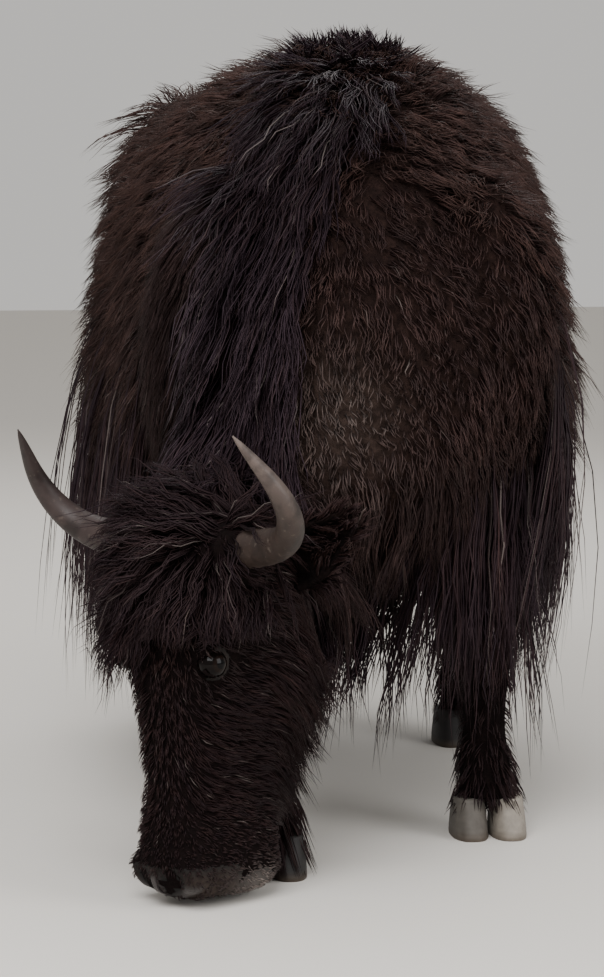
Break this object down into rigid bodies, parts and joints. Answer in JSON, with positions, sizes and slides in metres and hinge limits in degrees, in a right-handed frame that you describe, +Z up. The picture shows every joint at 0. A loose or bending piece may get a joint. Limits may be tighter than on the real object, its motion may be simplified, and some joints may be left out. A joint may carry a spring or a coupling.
{
  "type": "life-size yak model",
  "caption": "Still, life-size museum-like model of a long-haired domestic yak that stands on its hooves and grazes, its head low and turned to its right.",
  "frame": {"origin": "middle of the model's footprint box, on the floor under the hooves", "axes": "+Z up, the yak faces -Y and its left side is +X"},
  "size_m": [0.913, 1.9496, 1.1589],
  "materials": {
    "wool": "matte, short curly brown-black coat",
    "long_hair": "satin, long black hair",
    "horn": "grey-brown horn, satin",
    "claw": "grey and cream hoof horn, matte",
    "eye": "glossy black"
  },
  "bodies": {
    "root": {"claw_fore_left_left": "claw", "claw_fore_left_right": "claw", "claw_fore_right_left": "claw", "claw_fore_right_right": "claw", "claw_hind_left_left": "claw", "claw_hind_left_right": "claw", "claw_hind_right_left": "claw", "claw_hind_right_right": "claw", "dewclaw_fore_left_left": "claw", "dewclaw_fore_left_right": "claw", "dewclaw_fore_right_left": "claw", "dewclaw_fore_right_right": "claw", "dewclaw_hind_left_left": "claw", "dewclaw_hind_left_right": "claw", "dewclaw_hind_right_left": "claw", "dewclaw_hind_right_right": "claw", "ear_left": "long_hair", "ear_right": "long_hair", "eye_left": "eye", "eye_right": "eye", "foreleg_left": "long_hair", "foreleg_right": "long_hair", "head": "wool", "hindleg_left": "long_hair", "hindleg_right": "long_hair", "horn_left": "horn", "horn_right": "horn", "neck": "long_hair", "tail": "long_hair", "torso": "wool"}
  },
  "joints": []
}
